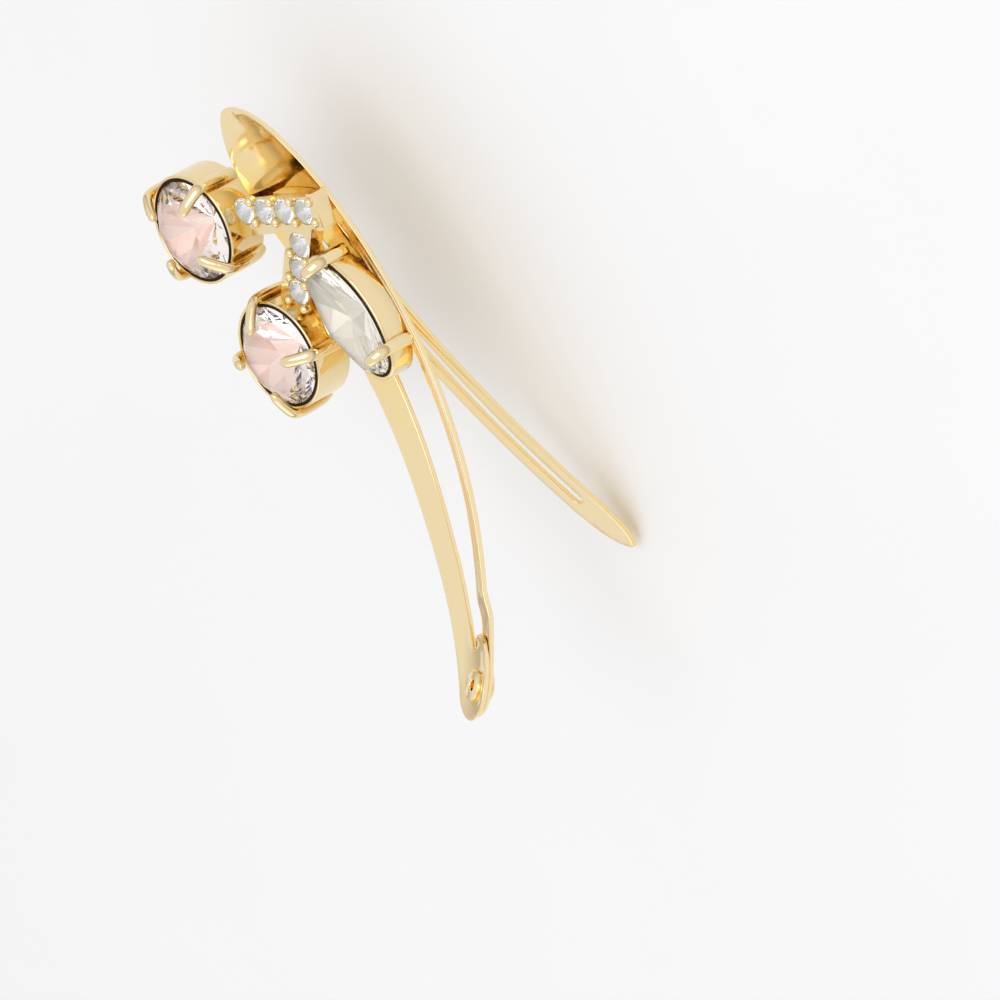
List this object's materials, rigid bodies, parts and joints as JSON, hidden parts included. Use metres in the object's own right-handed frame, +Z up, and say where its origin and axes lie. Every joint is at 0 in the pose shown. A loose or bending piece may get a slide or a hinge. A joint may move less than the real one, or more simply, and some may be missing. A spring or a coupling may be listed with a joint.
{
  "type": "hair barrette",
  "caption": "Open snap hair clip: a bowed sprung frame and a slotted centre tongue, with a cast branch of claw-set round, long and small stones on its wide end.",
  "frame": {"origin": "middle of the bounding box of the whole open clip", "axes": "+X along the clip from the wide end to the riveted tip, +Y across it, away from the round stones, +Z up on the ornament side"},
  "size_m": [0.0494, 0.0192, 0.0204],
  "materials": {
    "stamped_gold": "polished pale gold plate; the metal under it is not visible",
    "cast_gold": "polished pale gold plate over a cast base metal, rougher in the recesses",
    "pink_glass": "faceted, foil-backed, pale pink",
    "milky_glass": "faceted, slightly milky, clear to grey-white",
    "clear_glass": "faceted, foil-backed, colourless"
  },
  "bodies": {
    "clip_base": {"plate": "stamped_gold", "solder_pad": "cast_gold", "branch": "cast_gold", "upper_cup": "cast_gold", "lower_cup": "cast_gold", "navette_setting": "cast_gold", "upper_round_stone": "pink_glass", "lower_round_stone": "pink_glass", "navette_stone": "milky_glass", "small_stone_1": "clear_glass", "small_stone_2": "clear_glass", "small_stone_3": "clear_glass", "small_stone_4": "clear_glass", "small_stone_5": "clear_glass", "small_stone_6": "clear_glass", "small_stone_7": "clear_glass"},
    "frame_loop": {"far_leg": "stamped_gold", "near_leg": "stamped_gold", "tip_eyelet": "stamped_gold"},
    "tongue_strip": {"tongue": "stamped_gold"}
  },
  "joints": [
    {"name": "frame_flex", "type": "hinge", "parent": "clip_base", "child": "frame_loop", "pos_m": [-0.01285, 0.00438, -0.00145], "axis": [0, 1, 0], "range_deg": [0, 11.3], "stiffness_Nm_per_rad": 0.03},
    {"name": "tongue_flex", "type": "hinge", "parent": "clip_base", "child": "tongue_strip", "pos_m": [-0.01285, 0.00438, -0.00145], "axis": [0, 1, 0], "range_deg": [-10, 0], "stiffness_Nm_per_rad": 0.03}
  ],
  "couplings": [
    {"joint": "tongue_flex", "follows": "frame_flex", "ratio": -0.86}
  ]
}
